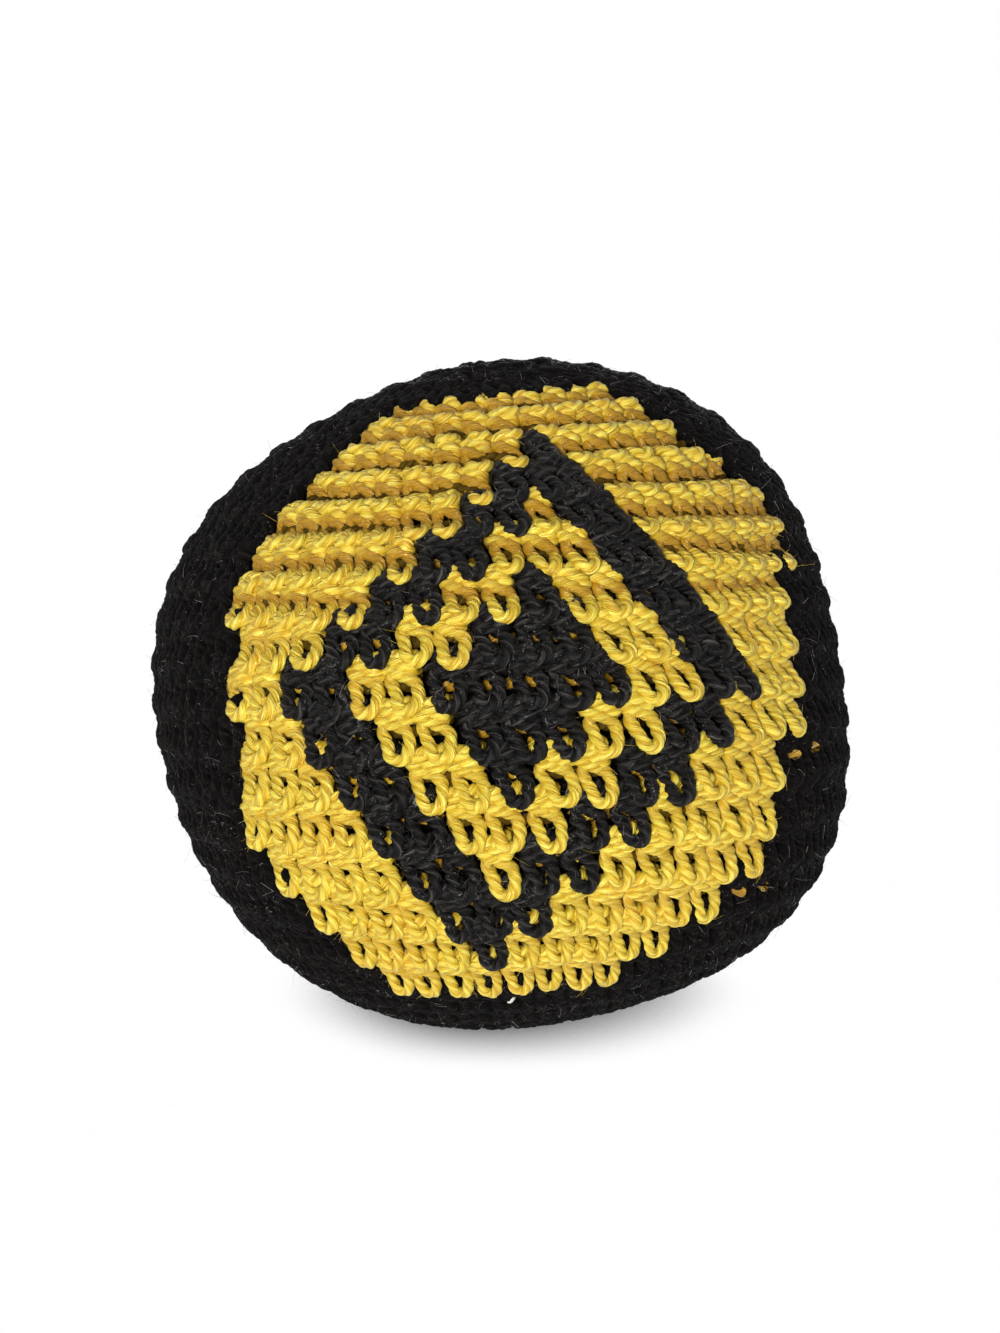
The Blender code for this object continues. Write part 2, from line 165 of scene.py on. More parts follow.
# Rounds of the cover that make one piece, from and to
COVER_GROUPS = (
    (-6, -3), (-2, -1), (0, 0), (1, 1), (2, 2), (3, 4),
    (5, 6), (7, 8), (9, 10), (11, 12), (13, 15), (16, 18),
)

# The panel's pieces: name, colour, rounds from and to, and the node that each one replaces
PANEL_PIECES = (
    ("panel_low", FIELD, (0, 5), "panel_field"),
    ("panel_middle", FIELD, (6, 10), "panel_field"),
    ("panel_high", FIELD, (11, 15), "panel_field"),
    ("panel_within", INNER, (0, 15), "panel_inner"),
    ("diamond_outline", RING, (0, 15), "diamond_ring"),
    ("diamond_middle", CENTRE, (0, 15), "diamond_centre"),
)


# Sizes and colours


def metres(name, description, default):
    return FloatProperty(name=name, description=description, default=default, unit="LENGTH")


def degrees(name, description, default):
    default = math.radians(default)
    return FloatProperty(name=name, description=description, default=default, subtype="ANGLE")


def plain(name, description, default):
    return FloatProperty(name=name, description=description, default=default)


def paint(name, description, *default):
    return FloatVectorProperty(name=name, description=description, default=default, subtype="COLOR")


class FootbagShape(bpy.types.PropertyGroup):
    """The stuffed ball under the stitches."""

    ball_radius: metres("Ball radius", "Half the width across the panel", 0.0270)
    front_depth: metres("Front depth", "From the middle to the panel", 0.0287)
    back_depth: metres("Back depth", "From the middle to the back", 0.0260)
    floor_sink: metres("Floor sink", "How far the bag flattens where it lies", 0.0010)
    floor_bend: metres("Floor bend", "Half the height over which the flat bends up", 0.0004)
    panel_tilt: degrees("Panel tilt", "How far the panel looks up", 13.0)
    front_power_top: plain("Top fullness", "Power of the front curve at the top", 1.75)
    front_power_bottom: plain(
        "Bottom fullness", "Power of the front curve where the filling lies", 2.68
    )
    axis_back: degrees("Axis back", "How far the rounds' axis leans back", 10.6)
    axis_side: degrees("Axis side", "How far the rounds' axis leans aside", 2.2)
    cloth_thickness: metres(
        "Cloth thickness", "From the outside to the back of the stitches", 0.0021
    )
    knot_radius: metres("Knot radius", "Half the width of the knot inside", 0.0011)
    tail_length: metres("Tail length", "Length of the yarn end inside", 0.0060)
    tail_sway: metres("Tail sway", "How far the yarn end bows aside", 0.0016)
    piece_gap: metres("Piece gap", "Room left between one piece and the next", 0.0003)


class FootbagYarn(bpy.types.PropertyGroup):
    """The yarn and how evenly it is worked."""

    yarn_radius: metres("Yarn radius", "Half the thickness of the yellow yarn", 0.00048)
    tail_radius: metres("Tail radius", "Half the thickness of the yarn end", 0.00045)
    black_share: plain("Black share", "How much fuller the cover's black yarn is", 1.28)
    panel_share: plain("Panel share", "How much fuller the panel's black yarn is", 1.10)
    upper_fullness: plain(
        "Upper fullness", "How much fuller the yarn lies above the lowest panel rounds", 0.05
    )
    stitch_size: metres("Stitch size", "Width of a full stitch", 0.0029)
    twist_length: metres("Twist length", "Length of one turn of the plies", 0.0023)
    ply_groove: plain("Ply groove", "Depth of the groove between two plies, as a share", 0.25)
    unevenness: plain("Unevenness", "How far stitches stray, in stitch widths", 0.026)
    top_valley: plain("Top valley", "How much deeper the furrows between the top rounds are", 0.24)
    # Painted shade: how far the out mark is lowered just above the furrows, which the finish
    # darkens
    painted_top_shade: plain("Top shade", "How much duller the yarn is above them", 0.76)
    leg_samples: IntProperty(
        name="Leg samples", description="Points along each leg of a stitch", default=22, min=8
    )
    seed: IntProperty(name="Seed", description="Start of the random numbers", default=11)


class FootbagColours(bpy.types.PropertyGroup):
    """Colours of the yarns, the lint and the filling."""

    yellow: paint("Yellow", "Yellow yarn", 0.90, 0.64, 0.030)
    # Painted highlight: the yellow yarn's colour where its ply crests catch the light
    yellow_ridge_highlight: paint("Yellow ridge", "Yellow yarn on its ridges", 1.0, 0.88, 0.150)
    yellow_warm: paint("Yellow patch", "Yellow yarn in its warmer patches", 0.88, 0.53, 0.020)
    # Painted shade: the yellow yarn's colour in the grooves between plies and down in the cloth
    yellow_groove_shade: paint("Yellow groove", "Yellow yarn in its grooves", 0.50, 0.250, 0.004)
    black: paint("Black", "Black yarn", 0.0028, 0.0022, 0.0019)
    # Painted highlight: the black yarn's colour where its ply crests catch the light
    black_ridge_highlight: paint("Black ridge", "Black yarn on its ridges", 0.0160, 0.0135, 0.0118)
    # Painted highlight on the ply crests of the panel's black yarn, brighter than on the cover
    panel_ridge_highlight: paint("Panel ridge highlight", "The panel's black yarn on its ridges", 0.085, 0.078, 0.073)
    # Painted shade: the black yarn's colour in the grooves between plies and down in the cloth
    black_groove_shade: paint("Black groove", "Black yarn in its grooves", 0.0015, 0.0012, 0.0015)
    # Painted shade and bounce light: the black yarn in the holes, warm brown for the yellow light
    # thrown into them, with its painted ridge highlight below
    shaded: paint("Shaded", "Black yarn down in the holes", 0.150, 0.085, 0.008)
    shaded_ridge_highlight: paint("Shaded ridge", "The same on its ridges", 0.240, 0.150, 0.020)
    lint: paint("Lint", "Pale flecks on the yarn", 0.45, 0.44, 0.43)
    black_fibre: paint("Black fibre", "Most loose black fibres", 0.020, 0.018, 0.017)
    black_fibre_pale: paint("Pale black fibre", "The palest loose black fibres", 0.55, 0.53, 0.51)
    yellow_fibre: paint("Yellow fibre", "Most loose yellow fibres", 0.90, 0.62, 0.06)
    yellow_fibre_pale: paint("Pale yellow fibre", "The palest loose yellow fibres", 1.0, 0.88, 0.35)
    pellet: paint("Pellet", "Moulded pellets", 0.80, 0.78, 0.70)


class FootbagStage(bpy.types.PropertyGroup):
    """Camera, lights and floor."""

    camera_distance: metres("Camera distance", "From the ball's middle", 0.2835)
    camera_rise: degrees("Camera rise", "Elevation of the view", 13.0)
    lens: plain("Lens", "Focal length in millimetres", 99.53)
    key_strength: plain("Key light", "Strength of the front lamp", 3.4)
    fill_strength: plain("Fill light", "Strength of the high lamp", 0.10)
    back_strength: plain("Back light", "Strength of the lamp behind", 4.0)
    sky_strength: plain("Sky", "Strength of the even light", 0.14)
    floor_glow: plain("Floor glow", "Light that the white table sends up", 0.42)
    shadow_reach: plain(
        "Shadow reach", "Share of open sky at which the floor is plain white", 0.405
    )
    shadow_lean: degrees("Shadow lean", "How far the light on the floor comes from the front", 20.5)


# The ball and its rounds


class Bag:
    """The ball's surface, counted in rounds from the panel's foot and in turns about the axis."""

    def __init__(self, shape):
        self.shape = shape

        # The ball's box, from a point at each degree, gives the middle's place over the floor
        rise, turn = np.meshgrid(
            np.linspace(-math.pi / 2, math.pi / 2, 181), np.linspace(0, 2 * math.pi, 361)
        )
        way = self.world_ways(rise, turn)
        points = (way * self.radius(way)[..., None]).reshape(-1, 3)
        low, high = points.min(axis=0), points.max(axis=0)
        self.middle = np.array(
            [-0.5 * (low[0] + high[0]), -0.5 * (low[1] + high[1]), -low[2] - shape.floor_sink]
        )

        # Rounds are even along the line up the front, from one eye to the other
        rise = np.linspace(-math.pi / 2, math.pi / 2, 721)
        way = self.round_ways(rise, np.zeros_like(rise))
        steps = np.linalg.norm(np.diff(way * self.radius(way)[..., None], axis=0), axis=1)
        length = np.concatenate([[0.0], np.cumsum(steps)])
        below = START_ROUNDS + START_EYE_SHARE
        rounds = below + PANEL_ROUNDS + CLOSE_ROUNDS + CLOSE_EYE_SHARE
        self.rises = rise
        self.rise_rounds = length / length[-1] * rounds - below
        self.round_height = length[-1] / rounds

    def radius(self, way):
        """How far the outside lies from the middle along unit vectors."""
        s = self.shape
        x, y, z = way[..., 0], way[..., 1], way[..., 2]
        up = z * math.cos(s.panel_tilt) + y * math.sin(s.panel_tilt)
        out = z * math.sin(s.panel_tilt) - y * math.cos(s.panel_tilt)
        side = np.hypot(x, up) + 1e-12
        turn = np.arctan2(up, x)
        share = OUTLINE_MEAN_SHARE
        for waves, (cosine, sine) in enumerate(OUTLINE_SHARES, start=1):
            share = share + cosine * np.cos(waves * turn) + sine * np.sin(waves * turn)
        low = (0.5 * (1 - up / side)) ** 2
        front = s.front_power_top + (s.front_power_bottom - s.front_power_top) * low
        power = np.where(out > 0, front, 2.0)
        depth = np.where(out > 0, s.front_depth, s.back_depth)
        reach = (side / (s.ball_radius * share)) ** power + (np.abs(out) / depth) ** power
        return reach ** (-1 / power)

    @staticmethod
    def world_ways(rise, turn):
        """Unit vectors about +Z, with turn 0 towards the panel."""
        return np.stack(
            [np.cos(rise) * np.sin(turn), -np.cos(rise) * np.cos(turn), np.sin(rise)], axis=-1
        )

    def round_ways(self, rise, turn):
        """Unit vectors about the axis that the rounds go round."""
        way = self.world_ways(rise, turn)
        x, y, z = way[..., 0], way[..., 1], way[..., 2]
        cos_s, sin_s = math.cos(self.shape.axis_side), math.sin(self.shape.axis_side)
        cos_b, sin_b = math.cos(self.shape.axis_back), math.sin(self.shape.axis_back)
        x, z = x * cos_s - z * sin_s, x * sin_s + z * cos_s
        y, z = y * cos_b + z * sin_b, z * cos_b - y * sin_b
        return np.stack([x, y, z], axis=-1)

    def points(self, rounds, turn, depth):
        """Points under the outside by depth, as the cloth lies on the floor."""
        return self.under(np.interp(rounds, self.rise_rounds, self.rises), turn, depth)

    def under(self, rise, turn, depth):
        """The same from the rise above the level of the rounds' axis."""
        way = self.round_ways(rise, turn)
        points = way * (self.radius(way) - depth)[..., None] + self.middle
        bend = self.shape.floor_bend
        height = points[..., 2] - depth
        bent = np.where(height > bend, height, (height + bend) ** 2 / (4 * bend))
        points[..., 2] = depth + np.where(height < -bend, 0.0, bent)
        return points

    def round_turn(self, row):
        """The turn of a round's middle stitch."""
        return (FIRST_DRIFT_SHARE + STITCH_DRIFT_SHARE * row) * 2 * math.pi / CHART_STITCHES


def colour_of(row, stitch):
    """Which piece of the cover a stitch of the chart belongs to."""
    if not 0 <= row < PANEL_ROUNDS:
        return COVER
    stitch = (stitch + CHART_STITCHES // 2) % CHART_STITCHES - CHART_STITCHES // 2
    if not PANEL_FIRST[row] <= stitch <= PANEL_LAST[row]:
        return COVER
    steps = abs(row - DIAMOND_ROUND) + abs(stitch - DIAMOND_STITCH)
    if steps <= CENTRE_STEPS:
        return CENTRE
    if steps < RING_STEPS[0]:
        return INNER
    return RING if steps <= RING_STEPS[1] else FIELD


def worked_stitches():
    """Every stitch as (round, place in the round, stitches in the round, colour)."""
    rows = []
    for place, count in enumerate(ROUND_STITCHES):
        row = place - START_ROUNDS
        for stitch in range(count):
            chart = round(stitch * CHART_STITCHES / count)
            rows.append((row, stitch, count, colour_of(row, chart)))
    return np.array(rows)


# Meshes


def unit(vectors):
    """Vectors brought to length one along their last axis."""
    return vectors / (np.linalg.norm(vectors, axis=-1, keepdims=True) + 1e-12)


def closed_quads(rows, columns):
    """Corner numbers of the quads of a grid that closes round its columns."""
    index = np.arange(rows * columns).reshape(rows, columns)
    after = np.roll(index, -1, axis=1)
    return np.stack([index[:-1], after[:-1], after[1:], index[1:]], axis=-1).reshape(-1, 4)


def hump(at, middle, width):
    """A smooth hump, 1 at its middle."""
    return np.exp(-(((at - middle) / width) ** 2))


def smooth_path(controls, samples):
    """Even samples of smooth curves through control points, (curves, controls, 3)."""
    count = controls.shape[1]
    basis = np.zeros((samples, count))
    for i, t in enumerate(np.linspace(0, count - 1, samples)):
        k = min(int(t), count - 2)
        f = t - k
        weights = (
            -0.5 * f + f * f - 0.5 * f**3,
            1 - 2.5 * f * f + 1.5 * f**3,
            0.5 * f + 2 * f * f - 1.5 * f**3,
            -0.5 * f * f + 0.5 * f**3,
        )
        for shift, weight in zip((-1, 0, 1, 2), weights):
            basis[i, min(max(k + shift, 0), count - 1)] += weight
    return np.einsum("mk,nkc->nmc", basis, controls)


PLY_POINTS = 5
PLIES = 3
SWELL_SHARE = 0.05
SWELL_WAVES = 2600
FIBRE_SLANT = 0.12
MILLIMETRES = 1000


def twist(paths, outs, radius, yarn, rng, seeds, sharp=np.ones(1)):
    """Surface points and marks of twisted yarn along paths (n, m, 3).

    The marks are the place round and along the yarn, for its fibres, and how far a point lies in
    the groove between plies, how far out in the cloth it is (outs), and its seed. The plies stand
    out and swell by sharp, one number for each path.
    """
    n, m, _ = paths.shape
    tangent = unit(np.gradient(paths, axis=1))
    side = np.zeros_like(paths)
    last = rng.normal(size=(n, 3))
    for k in range(m):
        t = tangent[:, k]
        last = unit(last - (last * t).sum(axis=1, keepdims=True) * t)
        side[:, k] = last
    other = np.cross(tangent, side)
    step = np.linalg.norm(np.diff(paths, axis=1), axis=2)
    run = np.concatenate([np.zeros((n, 1)), np.cumsum(step, axis=1)], axis=1)
    turns = run / (yarn.twist_length * rng.uniform(0.9, 1.15, (n, 1)))
    phase = rng.uniform(0, 2 * math.pi, (n, 1)) - 2 * math.pi * turns
    points = PLIES * PLY_POINTS
    section = 2 * math.pi * np.arange(points) / points
    ply = 2 * math.pi / PLIES
    off = np.abs((section + ply / 2) % ply - ply / 2) / (ply / 2)
    lobe = 1 - yarn.ply_groove * sharp[:, None, None] * off**2
    angle = section[None, None, :] + phase[..., None]
    wave = np.sin(run * SWELL_WAVES + rng.uniform(0, 6.3, (n, 1)))
    swell = 1 + SWELL_SHARE * sharp[:, None] * wave
    reach = radius[:, None, None] * swell[..., None] * lobe
    verts = paths[:, :, None, :] + reach[..., None] * (
        np.cos(angle)[..., None] * side[:, :, None, :]
        + np.sin(angle)[..., None] * other[:, :, None, :]
    )
    fibre = section[None, None, :] + FIBRE_SLANT * phase[..., None]
    along = np.broadcast_to(run[..., None] * MILLIMETRES, fibre.shape)
    strand = np.stack([np.cos(fibre), np.sin(fibre), along], axis=-1)
    # The finishes paint shade from the groove mark and the out mark, and callers lower some outs to
    # paint more
    marks = (off, outs[..., None], seeds[:, None, None])
    lie = np.stack([np.broadcast_to(mark, fibre.shape) for mark in marks], axis=-1)
    return verts, strand, lie


def tube_mesh(name, parts):
    """One mesh from several (verts, strand, lie) blocks of tubes with flat ends."""
    all_verts, all_strand, all_lie, loops, totals = [], [], [], [], []
    base = 0
    for verts, strand, lie in parts:
        n, m, s, _ = verts.shape
        all_verts.append(verts.reshape(-1, 3))
        all_strand.append(strand.reshape(-1, 3))
        all_lie.append(lie.reshape(-1, 3))
        index = base + np.arange(n * m * s).reshape(n, m, s)
        around = np.roll(index, -1, axis=2)
        corners = [index[:, :-1], around[:, :-1], around[:, 1:], index[:, 1:]]
        quads = np.stack(corners, axis=-1).reshape(-1, 4)
        loops.append(quads.reshape(-1))
        totals.append(np.full(len(quads), 4))
        for end in (index[:, 0, ::-1], index[:, -1]):
            loops.append(end.reshape(-1))
            totals.append(np.full(n, s))
        base += n * m * s
    mesh = bpy.data.meshes.new(name)
    verts, loop, total = (np.concatenate(blocks) for blocks in (all_verts, loops, totals))
    mesh.vertices.add(len(verts))
    mesh.vertices.foreach_set("co", verts.astype(np.float32).reshape(-1))
    mesh.loops.add(len(loop))
    mesh.loops.foreach_set("vertex_index", loop.astype(np.int32))
    mesh.polygons.add(len(total))
    mesh.polygons.foreach_set("loop_start", (np.cumsum(total) - total).astype(np.int32))
    mesh.polygons.foreach_set("loop_total", total.astype(np.int32))
    add_marks(mesh, strand=np.concatenate(all_strand), lie=np.concatenate(all_lie))
    mesh.update(calc_edges=True)
    mesh.validate()
    mesh.shade_smooth()
    return mesh


def add_marks(mesh, **marks):
    """Keeps marks on a mesh's points, three numbers each, for the materials to read."""
    for label, values in marks.items():
        layer = mesh.attributes.new(label, "FLOAT_VECTOR", "POINT")
        layer.data.foreach_set("vector", values.astype(np.float32).reshape(-1))


def place(name, mesh, finish, slot, *nodes):
    """Links a piece to the scene and to the part's body."""
    mesh.materials.append(finish)
    obj = bpy.data.objects.new(name, mesh)
    bpy.context.scene.collection.objects.link(obj)
    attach(obj, BODY)
    if nodes:
        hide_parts(*nodes)
    return obj


# Stitches


def beside_other_colour(rows):
    """Whether the stitches before and after each one are of the other colour."""
    ends = []
    for row, stitch, count, colour in rows:
        chart = round(stitch * CHART_STITCHES / count)
        mine = colour in YELLOWS
        ends.append([(colour_of(row, chart + step) in YELLOWS) != mine for step in (-1, 1)])
    return np.array(ends)


def yarn_radii(bag, yarn, rows, turn):
    """Half the thickness of each stitch's yarn: thinner where stitches crowd, fuller in black."""
    row, count, colour = rows[:, 0], rows[:, 2], rows[:, 3]
    flat = np.zeros(len(rows))
    near = bag.points(row + 0.5, turn - math.pi / count, flat)
    far = bag.points(row + 0.5, turn + math.pi / count, flat)
    width = np.linalg.norm(far - near, axis=1)
    radius = yarn.yarn_radius * np.clip((width / yarn.stitch_size) ** 0.6, 0.74, 1.0)
    black = np.where(colour == COVER, yarn.black_share, yarn.panel_share)
    return radius * np.where(np.isin(colour, YELLOWS), 1.0, black)


def stitch_tubes(bag, yarn, rows, seed):
    """The loop and the two top strands of each stitch in rows, as tubes."""
    rng = np.random.default_rng(yarn.seed * 1000 + seed)
    row, stitch, count, colour = rows.T
    n = len(rows)
    turn = bag.round_turn(row) + stitch * 2 * math.pi / count
    radius = yarn_radii(bag, yarn, rows, turn)
    yellow, outside = np.isin(colour, YELLOWS), colour == COVER
    before, after = beside_other_colour(rows).T[..., None]

    # Handwork: each stitch is set, widened, leant and drawn up a little differently
    stray = rng.normal(size=(n, 1, 3)) * yarn.unevenness * np.array([1.0, 0.9, 0.6])
    wide = 1 + rng.normal(size=(n, 1)) * yarn.unevenness * 1.8
    lean = rng.normal(size=(n, 1)) * yarn.unevenness * 2.0
    sag = 0.06 * np.sin(3.1 * turn + 1.9 * row) + 0.03 * np.sin(9.7 * turn - 2.3 * row)
    radius = radius * (1 + rng.normal(size=n) * yarn.unevenness)
    radius = radius * (1 + yarn.upper_fullness * np.clip((row - 2) / 4, 0, 1) * (1 - outside))
    seeds = rng.uniform(size=n)
    sharp = np.where(outside, 0.45, np.where(yellow, 1.0, 1.5))
    first, over = TOP_ROUNDS
    high = (np.clip((row - first) / over, 0, 1) * yellow)[:, None]
    tall = yarn.stitch_size / bag.round_height
    parts = []
    for strand, samples, fullness in STRANDS:
        bends = rng.normal(size=(n, len(strand), 3)) * 0.3 * yarn.unevenness
        controls = np.array(strand)[None] + stray + bends
        path = smooth_path(controls, round(yarn.leg_samples * samples))
        across = 0.04 + (path[..., 0] - 0.04) * wide + lean * path[..., 1]
        drawn = LOOP_END + END_SHARE * (across - LOOP_END)
        across = np.where(before & (across < LOOP_END), drawn, across)
        if strand is not LOOP:
            drawn = TOP_END + END_SHARE * (across - TOP_END)
            across = np.where(after & (across > TOP_END), drawn, across)
        up, out = path[..., 1], path[..., 2]
        out = out - yarn.top_valley * high * hump(up, *FURROW)
        # Painted shade: yellow stitches get a lower out mark just above their furrow, a quarter as
        # much in every round and fully in the top rounds
        painted_shade = yarn.painted_top_shade * (0.25 * yellow[:, None] + 0.75 * high) * hump(up, *FURROW_PAINTED_SHADE)

        # The cover's yarn is felted flat and stays under the ball's outside
        out = np.where(outside[:, None], out + 0.6 * np.clip(0.33 - out, 0, 0.12), out)
        sunk = SURFACE_OUT - out
        sunk = np.where(outside[:, None], np.maximum(sunk, 0.0), sunk)
        thick = radius * fullness
        points = bag.points(
            row[:, None] + 0.5 + (up + sag[:, None]) * tall,
            turn[:, None] + across * 2 * math.pi / count[:, None],
            thick[:, None] + sunk * yarn.stitch_size,
        )
        parts.append(twist(points, out - painted_shade, thick, yarn, rng, seeds, sharp))
    return parts


def carried_runs():
    """The stretches of the other yarn carried inside the stitches, as (round, from, to, yellow)."""
    runs = []
    for row in range(PANEL_ROUNDS):
        first, last = PANEL_FIRST[row] - 1, PANEL_LAST[row] + 2
        start = first
        for stitch in range(first, last + 1):
            here = colour_of(row, stitch) in YELLOWS
            if stitch == last or (colour_of(row, stitch + 1) in YELLOWS) != here:
                runs.append((row, start - 0.42, stitch + 0.42, not here))
                start = stitch + 1
    return runs


def carried_tubes(bag, yarn, yellow):
    """The carried stretches of one colour, as tubes that show through the stitches."""
    rng = np.random.default_rng(yarn.seed * 1000 + 200 + yellow)
    radius = np.array([yarn.yarn_radius * 0.95])
    knots = np.arange(-30, 31)
    parts = []
    for row, start, end, is_yellow in carried_runs():
        if is_yellow != yellow:
            continue
        at = np.linspace(start, end, max(int((end - start) * 10), 8))
        sway = np.interp(at, knots, rng.normal(size=len(knots)) * 0.05)
        shown = np.interp(at, knots, rng.uniform(size=len(knots)) ** 2)
        outside = (at > PANEL_LAST[row] + 0.5) & (row in PEEKING_ROUNDS)
        peek = 0.58 * hump((at + 0.5) % 1, 0.6, 0.14)
        bulge = np.where(outside, peek, 0.22 * np.cos(math.pi * at) ** 6 * shown)
        fade = np.clip(np.minimum(at - start, end - at) / 0.4, 0, 1)
        out = (-0.16 + bulge if yellow else 0.04) + sway - 0.25 * (1 - fade)
        depth = radius + (SURFACE_OUT - out) * yarn.stitch_size
        turn = bag.round_turn(row) + at * 2 * math.pi / CHART_STITCHES
        path = bag.points(row + 0.52 + sway, turn, depth)
        # Painted shade: the specks beside the panel get a lower out mark, so the finish darkens
        # them
        lie = (out - 0.58 * outside)[None]
        parts.append(twist(path[None], lie, radius, yarn, rng, rng.uniform(size=1)))
    return parts


# Rings, knot and yarn end


def plain_tube(path, thick, yarn, rng):
    """A single length of yarn along a path."""
    outs = np.full((1, len(path)), 0.3)
    return twist(path[None], outs, np.array([thick]), yarn, rng, rng.uniform(size=1))


def ring_tube(bag, yarn, node, rise, rng):
    """Two turns of yarn drawn tight round an eye, in the place of the ring in the part."""
    low, high = (np.array(corner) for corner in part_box(node))
    outside = 0.5 * (high - low)[:2].max()
    thick = outside * 0.36
    axis = bag.round_ways(np.array(rise), np.array(0.0))
    across = unit(np.cross(axis, (0.0, 1.0, 0.0)))
    other = np.cross(axis, across)
    turn = np.linspace(0, 4 * math.pi, 120)[:, None]
    round_eye = (outside - thick) * (np.cos(turn) * across + np.sin(turn) * other)
    lift = thick * 0.45 * np.sin(turn / 2) * axis
    return plain_tube(0.5 * (low + high) + round_eye + lift, thick, yarn, rng)


def knot_tube(yarn, node, rng):
    """An overhand knot of yarn in the place of the knot in the part."""
    low, high = (np.array(corner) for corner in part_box(node))
    reach = 0.5 * (high - low).min()
    thick = 0.30 * reach
    t = np.linspace(0, 2 * math.pi, 120, endpoint=False)
    trefoil = (np.sin(t) + 2 * np.sin(2 * t), np.cos(t) - 2 * np.cos(2 * t), -1.4 * np.sin(3 * t))
    path = np.stack(trefoil, axis=-1) * (reach - thick) / 3 + 0.5 * (low + high)
    return plain_tube(path, thick, yarn, rng)


def tail_tube(bag, yarn, rng):
    """The yarn end, along the same way as in the part."""
    shape = bag.shape
    share = np.linspace(0, 1, 40)
    along = shape.knot_radius + shape.piece_gap + shape.tail_length * share
    over = float(bag.radius(bag.round_ways(np.array(math.pi / 2), np.array(0.0))))
    sway = shape.tail_sway * np.sin(math.pi * share) / (along + shape.tail_sway)
    depth = np.full(len(share), shape.cloth_thickness + shape.piece_gap + yarn.tail_radius)
    path = bag.under(math.pi / 2 - along / over, math.pi + sway, depth)
    return plain_tube(path, yarn.tail_radius, yarn, rng)


# Pellets and fibres


GRANULE_SIZE = (0.00034, 0.00045, 0.00042)
GRANULE_BLUNTNESS = 0.6
GRANULE_DEPTH = 0.0007


def blunt(values):
    """Sines or cosines bent so that a ball's poles and sides go flat."""
    return np.sign(values) * np.abs(values) ** GRANULE_BLUNTNESS


def granule_mesh(name, bag, rounds, stitch, rng):
    """A small moulded pellet, round with blunt ends, wedged between stitches."""
    turn = bag.round_turn(math.floor(rounds)) + stitch * 2 * math.pi / CHART_STITCHES
    middle, surface = (
        bag.points(np.array([rounds]), np.array([turn]), np.array([depth]))[0]
        for depth in (GRANULE_DEPTH, 0.0)
    )
    out = unit(surface - middle)
    side = unit(np.cross(out, (0.0, 0.0, 1.0)))
    frame_ways = np.stack([side, out, np.cross(side, out)])
    rows, columns = 25, 36
    rise, turn = np.meshgrid(
        np.linspace(-math.pi / 2, math.pi / 2, rows),
        np.arange(columns) * 2 * math.pi / columns,
        indexing="ij",
    )
    dent = 1 + 0.04 * np.cos(2 * turn + rng.uniform(0, 6))
    dent += 0.03 * np.cos(3 * rise + rng.uniform(0, 6))
    wide = blunt(np.cos(rise)) * dent
    x, y, z = (
        size * way
        for size, way in zip(
            GRANULE_SIZE, (wide * np.cos(turn), wide * np.sin(turn), blunt(np.sin(rise)))
        )
    )
    lean = rng.uniform(-0.5, 0.5)
    leant = (x * math.cos(lean) - z * math.sin(lean), y, x * math.sin(lean) + z * math.cos(lean))
    points = middle + np.stack(leant, axis=-1) @ frame_ways
    mesh = bpy.data.meshes.new(name)
    mesh.from_pydata(points.reshape(-1, 3).tolist(), [], closed_quads(rows, columns).tolist())
    form = bmesh.new()
    form.from_mesh(mesh)
    bmesh.ops.remove_doubles(form, verts=form.verts, dist=1e-7)
    bmesh.ops.recalc_face_normals(form, faces=form.faces)
    form.to_mesh(mesh)
    form.free()
    mesh.shade_smooth()
    return mesh


HAIR_SIDES = 3
HAIR_POINTS = 6
HAIR_ROOT = 0.00006


def hair_mesh(name, tubes, rng, looks):
    """Loose fibres standing off a block of tubes, as one mesh of thin three-sided hairs."""
    per_tube, thickness, lift = looks
    verts, _, lie = tubes
    n, m, s, _ = verts.shape
    count = int(n * per_tube)
    tube = rng.integers(0, n, count)
    ring = rng.integers(2, m - 2, count)

    # Only where the yarn lies out in the open
    keep = lie[tube, ring, 0, 1] > 0.0
    tube, ring = tube[keep], ring[keep]
    count = len(tube)
    side = rng.integers(0, s, count)
    root = verts[tube, ring, side]
    away = unit(root - verts[tube, ring].mean(axis=1))
    along = unit(verts[tube, ring + 1, side] - verts[tube, ring - 1, side])
    along = along * rng.choice([-1.0, 1.0], (count, 1))
    wild = rng.normal(size=(count, 3)) * 0.5
    reach = FIBRE_LENGTH * np.minimum(rng.lognormal(0.0, 0.45, (count, 1)), 1.8)
    curl = np.cross(along, away) * rng.normal(size=(count, 1)) * 1.2
    t = np.linspace(0, 1, HAIR_POINTS)[None, :, None]
    straight = (along + away * lift + wild)[:, None]
    bend = curl[:, None] * t - away[:, None] * t * lift * 0.8
    path = (root - HAIR_ROOT * away)[:, None] + reach[:, None] * t * (straight + bend) * 0.6
    path[..., 2] = np.maximum(path[..., 2], thickness)
    tangent = unit(np.gradient(path, axis=1))
    across = unit(np.cross(tangent, rng.normal(size=(count, 1, 3))))
    other = np.cross(tangent, across)
    angle = (2 * math.pi * np.arange(HAIR_SIDES) / HAIR_SIDES)[:, None]
    taper = (thickness * (1.0 - 0.6 * t))[..., None]
    points = path[:, :, None] + taper * (
        np.cos(angle) * across[:, :, None] + np.sin(angle) * other[:, :, None]
    )
    seed = np.broadcast_to(rng.uniform(size=(count, 1, 1)), points.shape[:3])
    marks = np.stack([seed * 0, seed * 0 + 0.5, seed], axis=-1)
    return tube_mesh(name, [(points, marks, marks)])


# Finishes


def solid(colour):
    return (*colour, 1.0)


